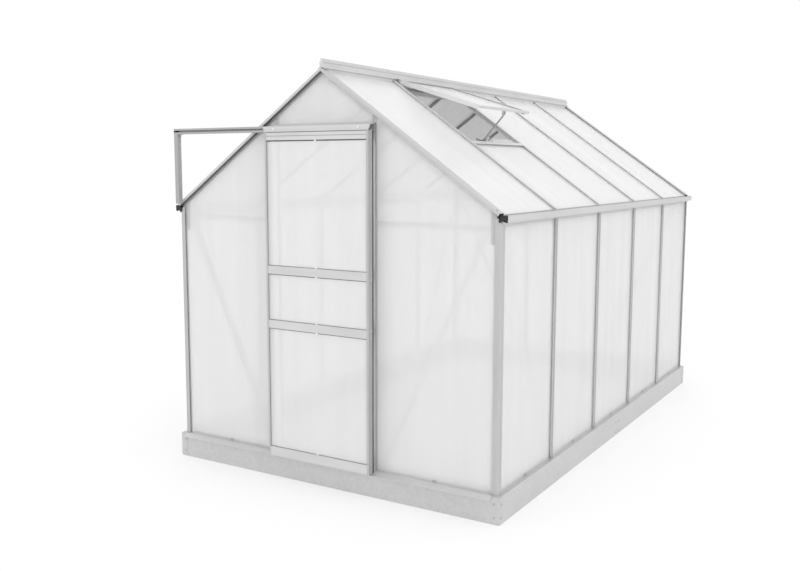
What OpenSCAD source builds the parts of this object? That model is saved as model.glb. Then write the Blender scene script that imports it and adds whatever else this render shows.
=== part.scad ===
/* [Base frame] */
// Width of the base across the gables
base_w = 1900; // [1700:10:2600]
// Length of the base along the ridge
base_l = 3150; // [2600:10:4500]
// Height of the base
base_h = 127; // [110:1:200]
// Depth of the flanges along the base's top and bottom edges
base_flange = 45; // [42:1:70]
// Sheet thickness of the base
base_t = 2; // [1.5:0.1:3]
// Width of each leg of the base's corner plates
corner_plate_w = 38; // [34:1:60]
// Sheet thickness of the corner plates
corner_plate_t = 1.5; // [1:0.1:3]
// Where each side of the base is spliced, from the middle towards the back
splice_y = -15; // [-200:5:200]
// Length of the tongue that fills each splice
tongue_l = 110; // [105:5:200]
// Radius of the ground anchor holes
anchor_r = 5; // [3:0.5:7]
// Distance between the anchor holes along one side
anchor_pitch = 2500; // [1500:50:2500]

/* [Walls] */
// How far the walls stand in from the faces of the base
wall_inset = 14; // [12:1:18]
// Height of the walls, from the base to the gutters
wall_h = 1196; // [1000:2:1500]
// Number of bays along the ridge
bays = 5; // [4:1:6]
// Visible width of the corner posts on the gables
post_front_w = 34; // [30:1:45]
// Visible width of the corner posts on the side walls
post_side_w = 30; // [26:1:45]
// Height of the lips that hold the panels along the sills and gutters
lip_h = 7; // [5:0.5:9]

/* [Glazing bars] */
// Width of a bar's outer cap and inner flange
bar_w = 24; // [20:1:32]
// How far a bar's cap stands proud of the panels
bar_stand = 10; // [8:0.5:12]
// Depth of a bar from its cap to the back of its bolt channel
bar_d = 26; // [25:0.5:32]
// Wall thickness of the bars
bar_t = 1.6; // [1.2:0.1:2]
// Thickness of a bar's web, between two panels
web_t = 3; // [2:0.5:5]
// Thickness of the twin-wall panels
panel_t = 4; // [3:0.5:6]
// Gap between a panel's edge and the web or wall beside it
panel_play = 1; // [0.5:0.1:2]

/* [Roof] */
// Pitch of the roof
roof_pitch = 35.2; // [30:0.2:40]
// Height of the roof's lower edge above the tops of the walls
eave_rise = 47; // [42:1:60]
// How far the roof's lower edge stands in from the faces of the walls
eave_in = 6; // [4:1:10]
// How far the gable rafters stand out in front of the gable walls
rafter_out = 16; // [12:1:25]
// Width of the gable rafters, seen from above
rafter_w = 42; // [40:1:60]
// Depth of the gable rafters
rafter_d = 24; // [22:1:30]
// Width of the hollow body of the ridge beam
ridge_w = 22; // [18:1:32]
// Height of the ridge beam above the line where the two slopes would meet
ridge_rise = 42; // [38:1:60]
// Height of the narrow fin along the top of the ridge beam
fin_h = 16; // [8:1:20]
// Width of the fin
fin_w = 10; // [6:1:14]
// How far the lips of the ridge beam stand out past its body
ridge_lip = 4; // [2:0.5:6]

/* [Gutters] */
// Width of the trough, outside the walls
gutter_w = 26; // [22:1:45]
// Height of the gutter's outer face
gutter_h = 31; // [26:1:34]
// Wall thickness of the gutters
gutter_t = 2; // [1.5:0.1:2.5]

/* [Door] */
// Width of the door
door_w = 600; // [560:5:700]
// Depth of the door
door_d = 41; // [38:1:50]
// Height of the door from its bottom rail to the top of its track cover
door_h = 1631; // [1500:1:1700]
// Width of the lips of the door stiles, seen from the front
stile_lip = 12; // [10:1:20]
// Height of the bottom rail
bottom_rail_h = 46; // [40:1:60]
// Height of the two middle rails
mid_rail_h = 40; // [36:1:50]
// Height of the lower middle rail above the door's bottom
low_rail_z = 649; // [500:1:700]
// Height of the upper middle rail above the door's bottom
high_rail_z = 918; // [800:1:1000]
// Height of the door's header
header_h = 49; // [46:1:60]
// Height of the strip that covers the track
track_cover_h = 17; // [14:1:20]
// How far the door's front stands out from the gable wall
door_out = 65; // [62:1:75]
// Travel of the door from closed to open
door_travel = 580; // [300:10:580]

/* [Door track] */
// Height of the track
track_h = 28; // [26:1:34]
// Depth of the track
track_d = 27; // [25:1:31]
// Wall thickness of the track
track_t = 2; // [1.5:0.1:2.5]
// How far the track reaches past the open door
track_spare = 41; // [35:1:80]
// Width of the slot in the track's front
track_slot = 9; // [9:1:12]
// Gap between a wheel's rim and the track
wheel_play = 0.3; // [0.2:0.1:0.6]
// Thickness of the wheels
wheel_w = 10; // [6:1:12]
// Radius of the wheel axles
axle_r = 3; // [2.5:0.1:3.5]
// Gap between an axle and its wheel's bore
axle_play = 0.06; // [0.02:0.01:0.09]
// Distance of each axle from the door's edge
axle_inset = 56; // [40:1:120]

/* [Roof vent] */
// Bay that the vent is in, counted from the front
vent_bay = 2; // [1:1:4]
// How far the vent stands open at rest
vent_open = 17.8; // [12:0.1:25]
// Length of the vent from its hinge to its lower edge
vent_l = 528; // [400:1:700]
// Depth of the vent's rails
vent_d = 23; // [22:0.5:26]
// Width of the vent's side rails
vent_rail_w = 12; // [10:1:25]
// Gap between the vent and the caps of the bars beside it
vent_gap = 7.6; // [3:0.1:15]
// Radius of the hinge bead on the ridge beam
bead_r = 3; // [2:0.1:3.5]
// Gap between the hinge bead and the vent's hinge curl
bead_play = 0.08; // [0.02:0.01:0.09]
// Height of the hinge above the faces of the roof bars
hinge_rise = 10; // [9:0.5:12]
// How far the stay leans to the front, from its pivot to its peg
stay_reach = 134; // [60:1:150]
// Width of the stay arm
stay_w = 12; // [10:1:16]
// Thickness of the stay arm
stay_t = 3; // [2:0.5:5]

/* [Braces and fasteners] */
// Width of the flat braces
brace_w = 24; // [18:1:30]
// Height of the crossbars behind the gables
crossbar_h = 28; // [24:1:34]
// Thickness of the braces and brackets
brace_t = 2; // [1.5:0.1:3]
// Radius of the bolts
bolt_r = 3; // [2.5:0.1:3.2]
// Gap between a bolt and its hole
bolt_play = 0.2; // [0.1:0.05:0.4]
// Radius of the door's screws
screw_r = 1.6; // [1.2:0.1:2]

/* [Hidden] */

// Small clearance between pieces that only pass each other
gap = 0.3;
// Larger than the whole building, for cutting shapes
big = 6000;

// Base: bolts from each corner and from the splice, and anchor holes from the sides
corner_bolt_x = 27;
corner_bolt_y = 17;
corner_bolt_zs = [30, 92];
splice_bolt_ys = [45, 96];
splice_bolt_zs = [17, 78];
anchor_in = 25;

// Planes of the walls, measured to the outer faces of the bars
wall_x = base_w / 2 - wall_inset;
wall_y = base_l / 2 - wall_inset;
wall_top = base_h + wall_h;
bay_l = 2 * wall_y / bays;
// Depth at which the panels' inner faces rest on the flanges
seat_d = bar_stand + panel_t;
// Depth of the inner lips of sills and gutters, just behind the bars
inner_d = bar_d + bar_t;
// Outer width of a bar's bolt channel
channel_w = 13.2;
// Half the mouth of the bolt channel
channel_mouth = 3.4;
// Depth from a corner at which a post's webs stop the panels
post_web = 19;
// Radius of a post's outer corner
post_round = 16;

// The widened top of the posts' inner flanges
tail_in = 60;
tail_h = 90;

// Sills
sill_t = 2;
sill_top = base_h + sill_t;
sill_lip_d = bar_stand - bar_t - gap;
sill_up_h = 33;
// The front sill slopes down and out under the door
drip_out = 39;
drip_z = base_h - 14;
drip_end = 9;

// Roof
eave_x = wall_x - eave_in;
eave_z = wall_top + eave_rise;
rafter_t = 1.8;
// Height of a rafter's front face, square to the slope
rafter_face_h = 13;
rafter_lip_h = 8;
rafter_y = wall_y + rafter_out;
// The bright bolt at each rafter's foot, from its lower end and its front
rafter_bolt_s = 22;
rafter_bolt_y = 13;
ridge_top = roof_z(0) + ridge_rise;
ridge_lip_z = ridge_top - fin_h;
ridge_t = 1.6;
// Its ends stand a little behind the rafters' fronts
ridge_end_in = 10;
wing_w = 34;
wing_t = 2;
panel_l = (eave_x - ridge_w / 2 - panel_play - seat_d * sin(roof_pitch)) / cos(roof_pitch);
panel_eave = 3;

// Gutters
gutter_x = wall_x + gutter_w;
gutter_in_x = wall_x - 31;
// The inner part of the trough ends behind the posts
gutter_y = wall_y - rafter_out;
// The floor steps up outside the wall, so that the outer face starts above the walls' tops
gutter_step = 8;
gutter_top = wall_top + gutter_step + gutter_h;
end_plate_t = 3;
gutter_top_lip = 6;
gutter_drop = 20;
foot_strip_t = 2.5;

// Front wall
// The jambs stand a little inside the door's edges
jamb_x = door_w / 2 - 16;
door_bottom = base_h - 1;
door_top = door_bottom + door_h;
door_y = -wall_y - door_out;
door_t = 1.6;
cover_z = door_top - track_cover_h;
header_z = cover_z - header_h;
// The header's box, and the stiles, end below the track
header_box_h = header_h - 11;
stile_top = header_z + header_box_h;
// Grooves along the header's front: one at the box's top, the other this high on the box
groove_z = 20;
groove_w = 2;
groove_depth = 0.8;
cover_overlap = 6;
cover_t = 1.2;
// How far the panels and the flanges of the rails lie behind the rails' edges
ledge = 7;
screw_port = 7;
screw_l = 18;
door_panel_y = door_y + 5;

// Track
track_y = -wall_y - rafter_out - track_d;
track_z = stile_top + 2;
track_x0 = -door_w / 2 - door_travel - track_spare;
track_x1 = door_w / 2;
track_cap_l = 12;
wheel_r = track_h / 2 - track_t - wheel_play;
wheel_z = track_z + track_h / 2;
wheel_y = track_y + track_t + 2;
axle_x = door_w / 2 - axle_inset;
axle_head_r = 6;
axle_head_h = 1.5;
axle_collar_r = 4.2;
// Depth of the track's front chamber, with 1 mm to spare behind the axles
track_room = 2 + wheel_w + gap + axle_head_h + 1;
// From the front of the track cover to the wheels, and to the far ends of the axles
to_wheel = wheel_y - door_y + cover_t;
axle_l = to_wheel + wheel_w + gap + axle_head_h;
strut_x = track_x0 + 10;
strut_foot = roof_z(strut_x, rafter_d) + 17;

// Header beam behind the track
beam_z = track_z;
beam_h = 34;
beam_t = 2;
beam_top = beam_z + beam_h;
// It ends at the jambs' outer edges, and short of the rafters above it
beam_half = min(jamb_x + bar_w / 2, roof_x(beam_top, rafter_d) - 3);

// Vent
vent_y0 = -wall_y + (vent_bay - 1) * bay_l + bar_w / 2 + vent_gap;
vent_y1 = -wall_y + vent_bay * bay_l - bar_w / 2 - vent_gap;
vent_mid = (vent_y0 + vent_y1) / 2;
vent_w = vent_y1 - vent_y0;
vent_t = 1.6;
vent_head_l = 24;
vent_foot_l = 24;
vent_foot_back = 5;
vent_foot_d = 14;
vent_top = 3;
vent_panel_z = -8;
vent_ledge = 10;
bead_t = 2;
curl_t = 2;
hinge_x = ridge_w / 2 + 6;
hinge_z = roof_z(hinge_x) + hinge_rise;
// The same hinge's place down the slope
hinge_s = -(eave_x - hinge_x) * cos(roof_pitch) - (hinge_z - eave_z) * sin(roof_pitch);
vent_slope = roof_pitch - vent_open;
// The transom lies below the closed vent
transom_gap = 26;
transom_s = hinge_s + vent_l + transom_gap;
transom_seat = 50;
transom_web = 11;
// The stay's pivot hangs under the vent's bottom rail
pivot_s = vent_l - 14;
pivot_n = -vent_d - 4;
pivot_x = hinge_x + pivot_s * cos(vent_slope) + pivot_n * sin(vent_slope);
pivot_z = hinge_z - pivot_s * sin(vent_slope) + pivot_n * cos(vent_slope);
pivot_r = 2.5;
pivot_play = 0.06;
pivot_lug_w = 12;
pivot_lug_t = 2;
// The eye rolled at the stay's top, round the pivot pin
eye_r = pivot_r + pivot_play + 2;
eye_w = 14;
// The peg that the stay rests on, uphill of the transom and above the roof bars' faces
peg_s = transom_s - 13.7;
peg_n = 11.4;
peg_x = eave_x + peg_s * cos(roof_pitch) + peg_n * sin(roof_pitch);
peg_z = eave_z - peg_s * sin(roof_pitch) + peg_n * cos(roof_pitch);
peg_r = 2.5;
peg_gap = 0.5;
peg_post_t = 3;
// Slope of the stay's flat face below the horizontal, towards the ridge
stay_angle = atan2(pivot_z - peg_z, pivot_x - peg_x);
// Distance from the pivot to the peg along that slope, and to where the stay starts to lean
stay_drop = norm([pivot_x - peg_x, pivot_z - peg_z]);
stay_neck = 14;
stay_lean = atan2(stay_reach, stay_drop - stay_neck);
// From there to the peg, and to the start of the handle's curve
stay_l = norm([stay_reach, stay_drop - stay_neck]);
stay_end = stay_l + 10;
stay_holes = 4;
stay_hole_pitch = 26;
// The handle curves to the front, a little past level
handle_r = 0.064 * bay_l;
handle_l = 0.09 * bay_l;
handle_w = stay_w + 2;
handle_turn = 98 - stay_lean;
// The transom's seat is notched for the stay, on both sides of the pivot
notch_front = stay_reach + handle_r + handle_l + 2 * stay_w;
notch_back = eye_w / 2 + pivot_lug_t + 8;

// Braces and fasteners
crossbar_z = wall_top - 33;
foot_bolt_z = base_h + 21;
head_bolt_z = wall_top - 9;
// Length that bolt holes are drilled to, more than the walls they pass
drill = 12;
bolt_head_r = 5.5;
bolt_head_h = 2.5;
nut_r = 5.6;
nut_h = 4;
slot_head_r = 5.2;

// Height of the plane that lies a given depth below the faces of the roof bars
function roof_z(x, depth = 0) =
    eave_z + (eave_x - abs(x)) * tan(roof_pitch) - depth / cos(roof_pitch);

// Distance from the middle at which that plane is at height z
function roof_x(z, depth = 0) = eave_x - (z - eave_z + depth / cos(roof_pitch)) / tan(roof_pitch);

// Positions of the bars along the ridge
function bar_ys() = [for (i = [1 : bays - 1]) -wall_y + i * bay_l];

// Colours
module alu() color([0.72, 0.73, 0.74]) children();
module galv() color([0.78, 0.79, 0.80]) children();
module sheet() color([0.93, 0.94, 0.95, 0.6]) children();
module black() color([0.12, 0.12, 0.13]) children();
module steel() color([0.85, 0.85, 0.84]) children();

// Puts a shape of the right-hand slope in place: x runs down the slope, z out of it
module right_slope() translate([eave_x, 0, eave_z]) rotate([0, roof_pitch, 0]) children();

// Everything above the plane that lies a given depth below the roof bars' faces
module above_roof(depth) {
    outline = [
        [-big, roof_z(big, depth)], [0, roof_z(0, depth)], [big, roof_z(big, depth)],
        [big, big], [-big, big]
    ];
    rotate([90, 0, 0]) linear_extrude(2 * big, center = true) polygon(outline);
}

// Extrudes a cross-section up the slope from the eave; its x is along the ridge, its y is depth
module up_slope(length) rotate([-90, 0, 90]) linear_extrude(length) children();

// A flat strip between two points of an upright plane, square ended: [along, height]
module strip(p, q, width, thickness) {
    run = q - p;
    translate([p.x, 0, p.y])
        rotate([0, -atan2(run.y, run.x), 0])
            translate([0, 0, -width / 2]) cube([norm(run), thickness, width]);
}

// Fasteners

// A dome-headed bolt along z: its head sits on z = 0 and its nut closes the grip below
module bolt(grip) {
    cylinder(r = bolt_head_r, h = bolt_head_h, $fn = 32);
    translate([0, 0, -grip - nut_h - 1.5]) cylinder(r = bolt_r, h = grip + nut_h + 1.6, $fn = 24);
    translate([0, 0, -grip - nut_h]) cylinder(r = nut_r, h = nut_h, $fn = 6);
}

// A bolt whose head slides in a bar's channel; z = 0 is the channel's back, z points outwards
module channel_bolt(grip) {
    translate([0, 0, bar_t]) cylinder(r = slot_head_r, h = 3.5, $fn = 6);
    translate([0, 0, -grip - nut_h - 1.5]) cylinder(r = bolt_r, h = grip + nut_h + bar_t + 2, $fn = 24);
    translate([0, 0, -grip - nut_h]) cylinder(r = nut_r, h = nut_h, $fn = 6);
}

// A clearance hole for either bolt
module bolt_hole(length = drill) {
    translate([0, 0, -length]) cylinder(r = bolt_r + bolt_play, h = 2 * length, $fn = 32);
}

// Glazing bars: the section's x is across the bar, its y is depth behind the cap
module bar_cap() translate([-bar_w / 2, 0]) square([bar_w, bar_t]);

module bar_web() translate([-web_t / 2, 0]) square([web_t, seat_d]);

module bar_back() {
    inner_w = channel_w - 2 * bar_t;
    translate([-bar_w / 2, seat_d]) square([bar_w, bar_t]);
    difference() {
        translate([-channel_w / 2, seat_d]) square([channel_w, bar_d - seat_d]);
        translate([-inner_w / 2, seat_d + bar_t]) square([inner_w, bar_d - seat_d - 2 * bar_t]);
        translate([-channel_mouth, seat_d + bar_t]) square([2 * channel_mouth, bar_d]);
    }
}

// An upright bar between sill and gutter, with its web notched round their lips
module wall_bar(cap_start = 0) {
    notch = lip_h + 3;
    translate([0, 0, base_h + cap_start]) linear_extrude(wall_h - cap_start) bar_cap();
    translate([0, 0, base_h + notch]) linear_extrude(wall_h - 2 * notch) bar_web();
    translate([0, 0, sill_top]) linear_extrude(wall_h - sill_t) bar_back();
}

// The right side wall's bars, one between each pair of bays
module wall_bars() {
    for (y = bar_ys())
        translate([wall_x, y, 0]) rotate([0, 0, 90]) wall_bar();
}

// A gable bar: it runs from the sill up to the rafter
module gable_bar() {
    notch = lip_h + 3;
    difference() {
        union() {
            translate([0, 0, sill_top]) linear_extrude(big / 2) bar_cap();
            translate([0, 0, base_h + notch]) linear_extrude(big / 2) bar_web();
            translate([0, 0, sill_top]) linear_extrude(big / 2) bar_back();
        }
        translate([-jamb_x, 0, 0]) above_roof(rafter_d);
    }
}

// Both bars of a gable, for the front
module gable_bars() {
    for (side = [0, 1])
        mirror([side, 0, 0]) translate([jamb_x, -wall_y, 0]) gable_bar();
}

// Base

// One end of the base: a channel open to the inside
module base_end() {
    translate([-base_w / 2, -base_l / 2, 0]) {
        difference() {
            cube([base_w, base_flange, base_h]);
            translate([-1, base_t, base_t]) cube([base_w + 2, base_flange, base_h - 2 * base_t]);
        }
    }
}

// The right side's channel between two places, with its web reaching into the end at the corner
module base_side_channel(from, to) {
    inside = base_w / 2 - base_flange;
    difference() {
        translate([inside, from, 0]) cube([base_flange, to - from, base_h]);
        translate([inside - 1, from - 1, base_t])
            cube([base_flange - base_t + 1, to - from + 2, base_h - 2 * base_t]);
    }
}

module base_corner_web() {
    translate([base_w / 2 - base_t, -base_l / 2 + base_t, base_t])
        cube([base_t, base_flange - base_t + 1, base_h - 2 * base_t]);
}

module splice_bolt_places() {
    for (along = splice_bolt_ys, up = splice_bolt_zs)
        translate([base_w / 2, splice_y + along, up]) rotate([0, 90, 0]) children();
}

module anchor_places() {
    for (end = [-1, 1])
        translate([base_w / 2 - anchor_in, end * anchor_pitch / 2, -1]) children();
}

module corner_bolt_places() {
    plate = corner_plate_t;
    for (up = corner_bolt_zs) {
        translate([base_w / 2 - corner_bolt_x, -base_l / 2 - plate, up]) rotate([90, 0, 0]) children();
        translate([base_w / 2 + plate, -base_l / 2 + corner_bolt_y, up]) rotate([0, 90, 0]) children();
    }
}

module all_corners() {
    for (side = [0, 1], end = [0, 1])
        mirror([side, 0, 0]) mirror([0, end, 0]) children();
}

module base_holes() {
    all_corners() corner_bolt_places() bolt_hole();
    for (side = [0, 1]) mirror([side, 0, 0]) {
        splice_bolt_places() bolt_hole();
        anchor_places() cylinder(r = anchor_r, h = base_t + 2, $fn = 32);
    }
}

module base_front() galv() difference() {
    base_end();
    base_holes();
}

module base_back() galv() difference() {
    mirror([0, 1, 0]) base_end();
    base_holes();
}

module side_front_section() difference() {
    union() {
        base_side_channel(-base_l / 2 + base_flange, splice_y);
        base_corner_web();
        translate([base_w / 2 - 2 * base_t, splice_y - 20, base_t])
            cube([base_t, tongue_l + 20, base_h - 2 * base_t]);
    }
    base_holes();
}

module side_rear_section() difference() {
    union() {
        base_side_channel(splice_y, base_l / 2 - base_flange);
        mirror([0, 1, 0]) base_corner_web();
    }
    base_holes();
}

module base_right_front() galv() side_front_section();
module base_right_rear() galv() side_rear_section();
module base_left_front() galv() mirror([1, 0, 0]) side_front_section();
module base_left_rear() galv() mirror([1, 0, 0]) side_rear_section();

module corner_plate() {
    edge = 4;
    leg = corner_plate_w + corner_plate_t;
    translate([base_w / 2 + corner_plate_t, -base_l / 2 - corner_plate_t, edge]) {
        translate([-leg, 0, 0]) cube([leg, corner_plate_t, base_h - 2 * edge]);
        translate([-corner_plate_t, 0, 0]) cube([corner_plate_t, leg, base_h - 2 * edge]);
    }
}

module base_corner_plates() galv() difference() {
    all_corners() corner_plate();
    all_corners() corner_bolt_places() bolt_hole();
}

module base_bolts() steel() {
    all_corners() corner_bolt_places() bolt(corner_plate_t + base_t);
    for (side = [0, 1]) mirror([side, 0, 0]) splice_bolt_places() bolt(2 * base_t);
}

// Corner posts

// The rounded outer corner of the section: x runs along the gable, y inwards
module post_corner() {
    outer = [for (a = [0 : 30 : 90]) post_round * [1 - cos(a), 1 - sin(a)]];
    inner = [for (a = [90 : -30 : 0]) post_round * [1, 1] - (post_round - bar_t) * [cos(a), sin(a)]];
    polygon(concat(outer, inner));
}

// The part of the section that passes in front of the gutter
module post_face() {
    post_corner();
    translate([post_round - 1, 0]) square([post_front_w - post_round + 1, bar_t]);
    translate([post_web, 0]) square([bar_t, bar_stand]);
}

module post_section() {
    post_face();
    translate([0, post_round - 1]) square([bar_t, post_side_w - post_round + 1]);
    translate([post_web, 0]) square([bar_t, seat_d + bar_t]);
    translate([0, post_web]) square([seat_d + bar_t, bar_t]);
    translate([seat_d, seat_d]) square([post_front_w - seat_d, bar_t]);
    translate([seat_d, seat_d]) square([bar_t, post_side_w - seat_d]);
}

// The inner flange of the post widens at the top, inside the gutter, and meets the rafter
module post_tail() {
    x0 = wall_x - tail_in;
    x1 = gutter_in_x - 1;
    outline = [
        [x0, wall_top - tail_h], [wall_x - post_front_w + 1, wall_top - tail_h],
        [wall_x - post_front_w + 1, wall_top - 1], [x1, wall_top - 1],
        [x1, roof_z(x1, rafter_d)], [x0, roof_z(x0, rafter_d)]
    ];
    translate([0, -wall_y + seat_d + bar_t, 0]) rotate([90, 0, 0]) linear_extrude(bar_t) polygon(outline);
}

// The front right post
module corner_post() {
    difference() {
        translate([wall_x, -wall_y, base_h]) mirror([1, 0, 0]) linear_extrude(wall_h + big / 4) post_face();
        above_roof(rafter_d);
    }
    translate([wall_x, -wall_y, base_h]) mirror([1, 0, 0]) linear_extrude(wall_h) post_section();
    post_tail();
}

module corner_post_front_right() alu() corner_post();
module corner_post_front_left() alu() mirror([1, 0, 0]) corner_post();
module corner_post_back_right() alu() mirror([0, 1, 0]) corner_post();
module corner_post_back_left() alu() mirror([1, 0, 0]) mirror([0, 1, 0]) corner_post();

module wall_bars_right() alu() wall_bars();
module wall_bars_left() alu() mirror([1, 0, 0]) wall_bars();
// Above the beam the jambs have no caps, and only their webs stand between the panels
module door_jambs() alu() difference() {
    gable_bars();
    translate([-wall_x, -wall_y - 1, beam_top]) cube([2 * wall_x, bar_stand + 1, ridge_top]);
}

module back_posts() alu() mirror([0, 1, 0]) gable_bars();

// Sills

// Section of a sill: x is depth behind the bars' faces, y is height above the base
module sill_section() {
    translate([sill_lip_d, 0]) square([inner_d - sill_lip_d, sill_t]);
    translate([sill_lip_d, 0]) square([bar_t, lip_h]);
    translate([bar_d, 0]) square([bar_t, sill_up_h]);
}

// Places of the bolts through the upright of the right sill and the bars' channels
module side_foot_places() {
    for (y = bar_ys())
        translate([wall_x - bar_d, y, foot_bolt_z]) rotate([0, 90, 0]) children();
}

module side_sill() difference() {
    translate([wall_x, -wall_y + post_side_w, base_h])
        rotate([90, 0, 180]) linear_extrude(2 * (wall_y - post_side_w)) sill_section();
    side_foot_places() bolt_hole();
}

// Places of the bolts at the feet of the gable bars, at the front
module gable_foot_places() {
    for (side = [-1, 1])
        translate([side * jamb_x, -wall_y + bar_d, foot_bolt_z]) rotate([90, 0, 0]) children();
}

module end_sill() difference() {
    translate([wall_x - post_front_w, -wall_y, base_h])
        rotate([90, 0, -90]) mirror([1, 0, 0])
            linear_extrude(2 * (wall_x - post_front_w)) sill_section();
    gable_foot_places() bolt_hole();
}

// The plate that runs out from the front sill and slopes down under the door
module drip_plate() {
    edge = base_l / 2 - wall_y;
    flat = [
        [-sill_lip_d, 0], [edge + 1, 0], [drip_out, drip_z - base_h],
        [drip_out, drip_z - base_h + sill_t], [edge + 1, sill_t], [-sill_lip_d, sill_t]
    ];
    half = wall_x - post_front_w;
    translate([half, -wall_y, base_h]) rotate([90, 0, -90]) linear_extrude(2 * half) polygon(flat);
}

// The sloping part alone, which reaches past the posts at both ends
module drip_ends() {
    edge = base_l / 2 - wall_y;
    slope = [
        [edge + 1, 0], [drip_out, drip_z - base_h],
        [drip_out, drip_z - base_h + sill_t], [edge + 1, sill_t]
    ];
    half = wall_x - post_front_w + drip_end;
    translate([half, -wall_y, base_h]) rotate([90, 0, -90]) linear_extrude(2 * half) polygon(slope);
}

module sill_front() alu() {
    end_sill();
    drip_plate();
    drip_ends();
}

module sill_back() alu() mirror([0, 1, 0]) end_sill();
module side_sill_right() alu() side_sill();
module side_sill_left() alu() mirror([1, 0, 0]) side_sill();

// Gutters

// Section of the right gutter: x across the building, y is height
module gutter_section() {
    // The sloping lip ends just short of the strips over the rafters' feet
    lip_x = eave_x - (seat_d + bar_t) * sin(roof_pitch) - gap;
    floor_z = wall_top + gutter_step;
    translate([gutter_in_x, wall_top]) square([wall_x + gutter_t - gutter_in_x, gutter_t]);
    translate([wall_x, wall_top]) square([gutter_t, gutter_step + gutter_t]);
    translate([wall_x, floor_z]) square([gutter_w, gutter_t]);
    translate([gutter_x - gutter_t, floor_z]) square([gutter_t, gutter_h]);
    translate([gutter_x - gutter_top_lip, gutter_top - gutter_t]) square([gutter_top_lip, gutter_t]);
    // The inner wall carries the lower edges of the roof panels on its sloping lip
    polygon([
        [gutter_in_x, wall_top], [gutter_in_x + gutter_t, wall_top],
        [gutter_in_x + gutter_t, roof_z(gutter_in_x + gutter_t, seat_d + bar_t)],
        [lip_x, roof_z(lip_x, seat_d + bar_t)], [lip_x, roof_z(lip_x, seat_d)],
        [gutter_in_x, roof_z(gutter_in_x, seat_d)]
    ]);
    // Below it, one lip hangs in front of the wall panels and one behind the bars
    translate([wall_x - bar_stand + gap, wall_top - lip_h]) square([bar_t, lip_h + 1]);
    translate([wall_x - inner_d, wall_top - gutter_drop]) square([bar_t, gutter_drop + 1]);
}

// Places of the bolts through the gutter's inner lip and the wall bars' channels
module side_head_places() {
    for (y = bar_ys())
        translate([wall_x - bar_d, y, head_bolt_z]) rotate([0, 90, 0]) children();
}

module gutter() difference() {
    translate([0, wall_y, 0]) rotate([90, 0, 0]) linear_extrude(2 * wall_y) gutter_section();
    for (end = [0, 1]) mirror([0, end, 0]) {
        // The lips under the floor stop at the corner posts, and the inner part behind them
        translate([0, -wall_y - 1, wall_top - big]) cube([big, post_side_w + gap + 1, big]);
        translate([0, -wall_y - 1, wall_top - 1]) cube([wall_x + gap, rafter_out + 1, big]);
    }
    side_head_places() bolt_hole();
}

module gutter_right() alu() gutter();
module gutter_left() alu() mirror([1, 0, 0]) gutter();

// The plastic plate on a gutter's end, with a plug in the trough, at the front right
module end_cap() {
    floor_z = wall_top + gutter_step;
    // It starts in front of the post, and its upper corner is cut off along the rafter's foot
    x0 = wall_x - 17;
    foot_x = eave_x + (foot_strip_t + gap) / cos(roof_pitch) - (eave_z - gutter_top) * tan(roof_pitch);
    foot_z = gutter_top - (foot_x - x0) / tan(roof_pitch);
    notch = [wall_x - 5, gutter_x - 11, 8];
    translate([0, -wall_y, 0]) rotate([90, 0, 0]) linear_extrude(end_plate_t) polygon([
        [x0, floor_z], [notch[0], floor_z], [notch[0], floor_z + notch[2]],
        [notch[1], floor_z + notch[2]], [notch[1], floor_z], [gutter_x - 2, floor_z],
        [gutter_x, floor_z + gutter_h / 2], [gutter_x - 1, gutter_top], [foot_x, gutter_top], [x0, foot_z]
    ]);
    inside = [gutter_in_x + gutter_t + gap, gutter_x - gutter_t - gap];
    low = floor_z + notch[2];
    translate([wall_x + 1, -wall_y - 1, low])
        cube([inside[1] - wall_x - 1, rafter_out + 9, gutter_top - gutter_t - gap - low]);
    translate([inside[0], -gutter_y, floor_z + gutter_t + gap])
        cube([wall_x + 2 - inside[0], 8, gutter_h / 2]);
}

module rafter_foot_strip() right_slope()
    translate([0, -rafter_y, -rafter_d]) cube([foot_strip_t, rafter_w, rafter_d]);

module end_caps() black() all_corners() {
    end_cap();
    rafter_foot_strip();
}

// Roof frame

// Section of a gable rafter: x runs inwards from its front face, y is depth
module rafter_outer() {
    back = rafter_out + bar_stand;
    lip = back - gap - bar_t;
    square([rafter_w, rafter_t]);
    square([rafter_t, rafter_face_h]);
    // Under the front face it runs back to a lip in front of the gable panel
    translate([0, rafter_face_h - bar_t]) square([lip, bar_t]);
    translate([lip, rafter_face_h - bar_t]) square([bar_t, rafter_lip_h]);
    translate([back + panel_t, 0]) square([bar_t, rafter_d]);
}

module rafter_seat() {
    inner = rafter_out + seat_d + bar_t;
    translate([inner - 0.5, seat_d]) square([rafter_w - inner + 0.5, bar_t]);
}

module beyond_ridge_and_gutter(inner_x, outer_x) {
    translate([-big, -big, 0]) cube([big + inner_x, 2 * big, big]);
    translate([outer_x, -big, 0]) cube([big, 2 * big, big]);
}

// Place of the bright bolt at the foot of the front right rafter
module rafter_bolt_place() right_slope()
    translate([-rafter_bolt_s, -rafter_y + rafter_bolt_y, 0]) children();

// The front right rafter
module rafter() difference() {
    union() {
        difference() {
            right_slope() translate([0, -rafter_y, 0]) up_slope(big / 2) rafter_outer();
            beyond_ridge_and_gutter(gap / 2, big / 2);
        }
        difference() {
            right_slope() translate([0, -rafter_y, 0]) up_slope(big / 2) rafter_seat();
            beyond_ridge_and_gutter(gap / 2, gutter_in_x - gap);
        }
    }
    rafter_bolt_place() bolt_hole(rafter_t + 1);
}

module rafter_front_right() alu() rafter();
module rafter_front_left() alu() mirror([1, 0, 0]) rafter();
module rafter_back_right() alu() mirror([0, 1, 0]) rafter();
module rafter_back_left() alu() mirror([1, 0, 0]) mirror([0, 1, 0]) rafter();

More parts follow.
